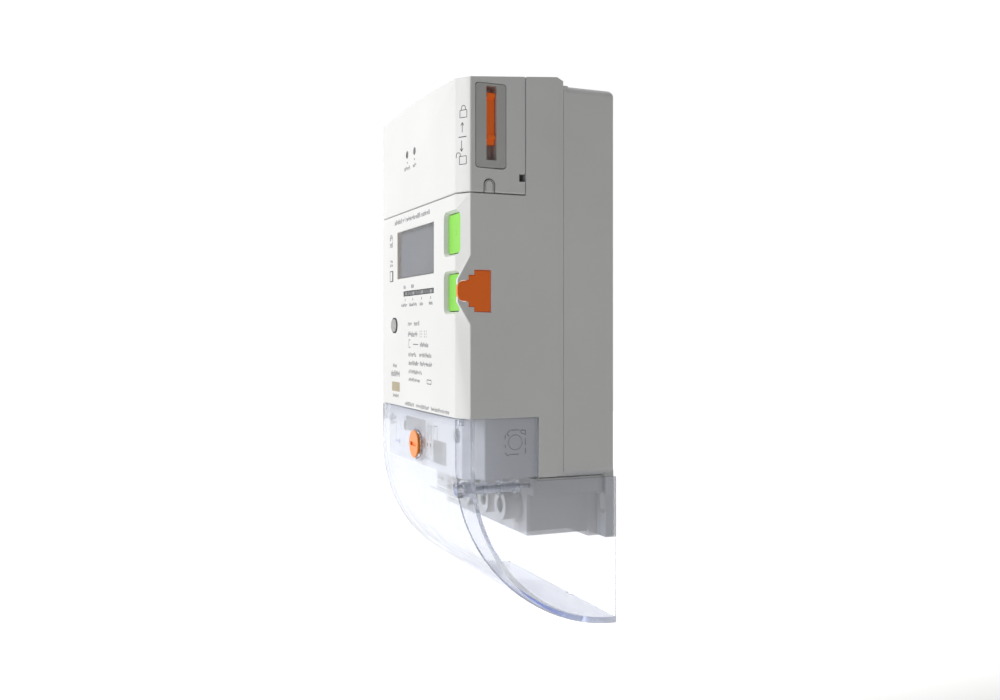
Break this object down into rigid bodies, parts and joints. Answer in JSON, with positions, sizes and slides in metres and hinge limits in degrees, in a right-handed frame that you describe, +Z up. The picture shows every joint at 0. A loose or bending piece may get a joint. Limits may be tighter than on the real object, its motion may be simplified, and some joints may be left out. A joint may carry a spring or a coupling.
{
  "type": "prepaid electricity meter",
  "caption": "Wall-hung single-phase electricity meter: display, push buttons, slide-locked module and clear domed terminal cover.",
  "frame": {"origin": "middle of the flat back of the case, on the wall plane", "axes": "+X to the right seen from the front, +Y into the wall, +Z up"},
  "size_m": [0.13, 0.0801, 0.2566],
  "materials": {
    "case_plastic": "fine moulded texture, polycarbonate",
    "grey_plastic": "fine moulded texture",
    "green_button": "satin moulded",
    "orange_plastic": "satin moulded",
    "orange_screw": "smooth moulded",
    "clear_plastic": "clear moulded polycarbonate",
    "display_glass": "smooth grey pane",
    "display_plastic": "moulded light box",
    "display_cell": "polarised film",
    "lamp_window": "smoked, smooth",
    "lens": "frosted lens",
    "dark_plastic": "moulded",
    "seal_rubber": "extruded seal",
    "circuit_board": "solder mask on glass laminate",
    "steel": "zinc plated",
    "cover_screw_steel": "yellow passivated",
    "brass": "turned",
    "copper": "rolled strip",
    "shunt_alloy": "manganin plate",
    "coil_tape": "polyester tape",
    "can": "tinned sheet",
    "capacitor_sleeve": "shrink sleeve",
    "battery_sleeve": "printed sleeve"
  },
  "bodies": {
    "case": {"base_housing": "case_plastic", "front_cover": "case_plastic", "case_gasket": "seal_rubber", "module_socket": "dark_plastic", "display_window": "display_glass", "display_frame": "display_plastic", "display_panel": "display_cell", "indicator_window": "lamp_window", "pulse_lens": "lens", "button_switch_upper": "dark_plastic", "button_switch_lower": "dark_plastic", "main_board": "circuit_board", "board_screw_1": "steel", "board_screw_2": "steel", "board_screw_3": "steel", "board_screw_4": "steel", "backup_battery": "battery_sleeve", "buzzer": "dark_plastic", "latching_relay": "dark_plastic", "busbar_line_in": "copper", "busbar_line_out": "copper", "neutral_link": "copper", "current_shunt": "shunt_alloy", "supply_transformer": "coil_tape", "supply_capacitor": "capacitor_sleeve", "terminal_block": "grey_plastic", "auxiliary_connector": "grey_plastic", "case_screw_upper_left": "steel", "case_screw_upper_right": "steel", "case_screw_lower_left": "steel", "case_screw_lower_right": "steel", "tamper_switch": "dark_plastic", "terminal_clamp_1": "brass", "terminal_screw_1": "steel", "terminal_clamp_2": "brass", "terminal_screw_2": "steel", "terminal_clamp_3": "brass", "terminal_screw_3": "steel", "terminal_clamp_4": "brass", "terminal_screw_4": "steel"},
    "comms_module": {"module_cover": "case_plastic", "module_lock_guide": "grey_plastic", "module_board": "circuit_board", "module_radio_can": "can", "module_header": "dark_plastic", "module_light_pipe_1": "lamp_window", "module_light_pipe_2": "lamp_window"},
    "lock_slider": {"module_lock_slider": "orange_plastic"},
    "upper_button": {"button_upper": "green_button"},
    "lower_button": {"button_lower": "green_button"},
    "lock_plug": {"button_lock_plug": "orange_plastic"},
    "clear_cover": {"terminal_cover": "clear_plastic"},
    "seal_turn": {"seal_screw": "orange_screw"},
    "cover_fastener": {"cover_screw": "cover_screw_steel"},
    "tamper_pin": {"tamper_plunger": "dark_plastic"}
  },
  "joints": [
    {"name": "module_pull", "type": "slide", "parent": "case", "child": "comms_module", "axis": [0, -1, 0], "range_m": [0, 0.03]},
    {"name": "lock_slide", "type": "slide", "parent": "comms_module", "child": "lock_slider", "axis": [0, 0, -1], "range_m": [0, 0.0068]},
    {"name": "upper_button_press", "type": "slide", "parent": "case", "child": "upper_button", "axis": [0, 1, 0], "range_m": [0, 0.0012], "stiffness_N_per_m": 900},
    {"name": "lower_button_press", "type": "slide", "parent": "case", "child": "lower_button", "axis": [0, 1, 0], "range_m": [0, 0.0012], "stiffness_N_per_m": 900},
    {"name": "plug_pull", "type": "slide", "parent": "case", "child": "lock_plug", "axis": [1, 0, 0], "range_m": [0, 0.012]},
    {"name": "cover_pull", "type": "slide", "parent": "case", "child": "clear_cover", "axis": [0, -1, 0], "range_m": [0, 0.085]},
    {"name": "seal_screw_turn", "type": "hinge", "parent": "clear_cover", "child": "seal_turn", "pos_m": [0.001, -0.0785, -0.0794], "axis": [0, 1, 0], "range_deg": [0, 90]},
    {"name": "cover_screw_turn", "type": "hinge", "parent": "clear_cover", "child": "cover_fastener", "pos_m": [0.055, -0.0726, -0.0947], "axis": [0, 1, 0], "continuous": true},
    {"name": "tamper_press", "type": "slide", "parent": "case", "child": "tamper_pin", "axis": [0, 1, 0], "range_m": [0, 0.0012], "stiffness_N_per_m": 300}
  ]
}
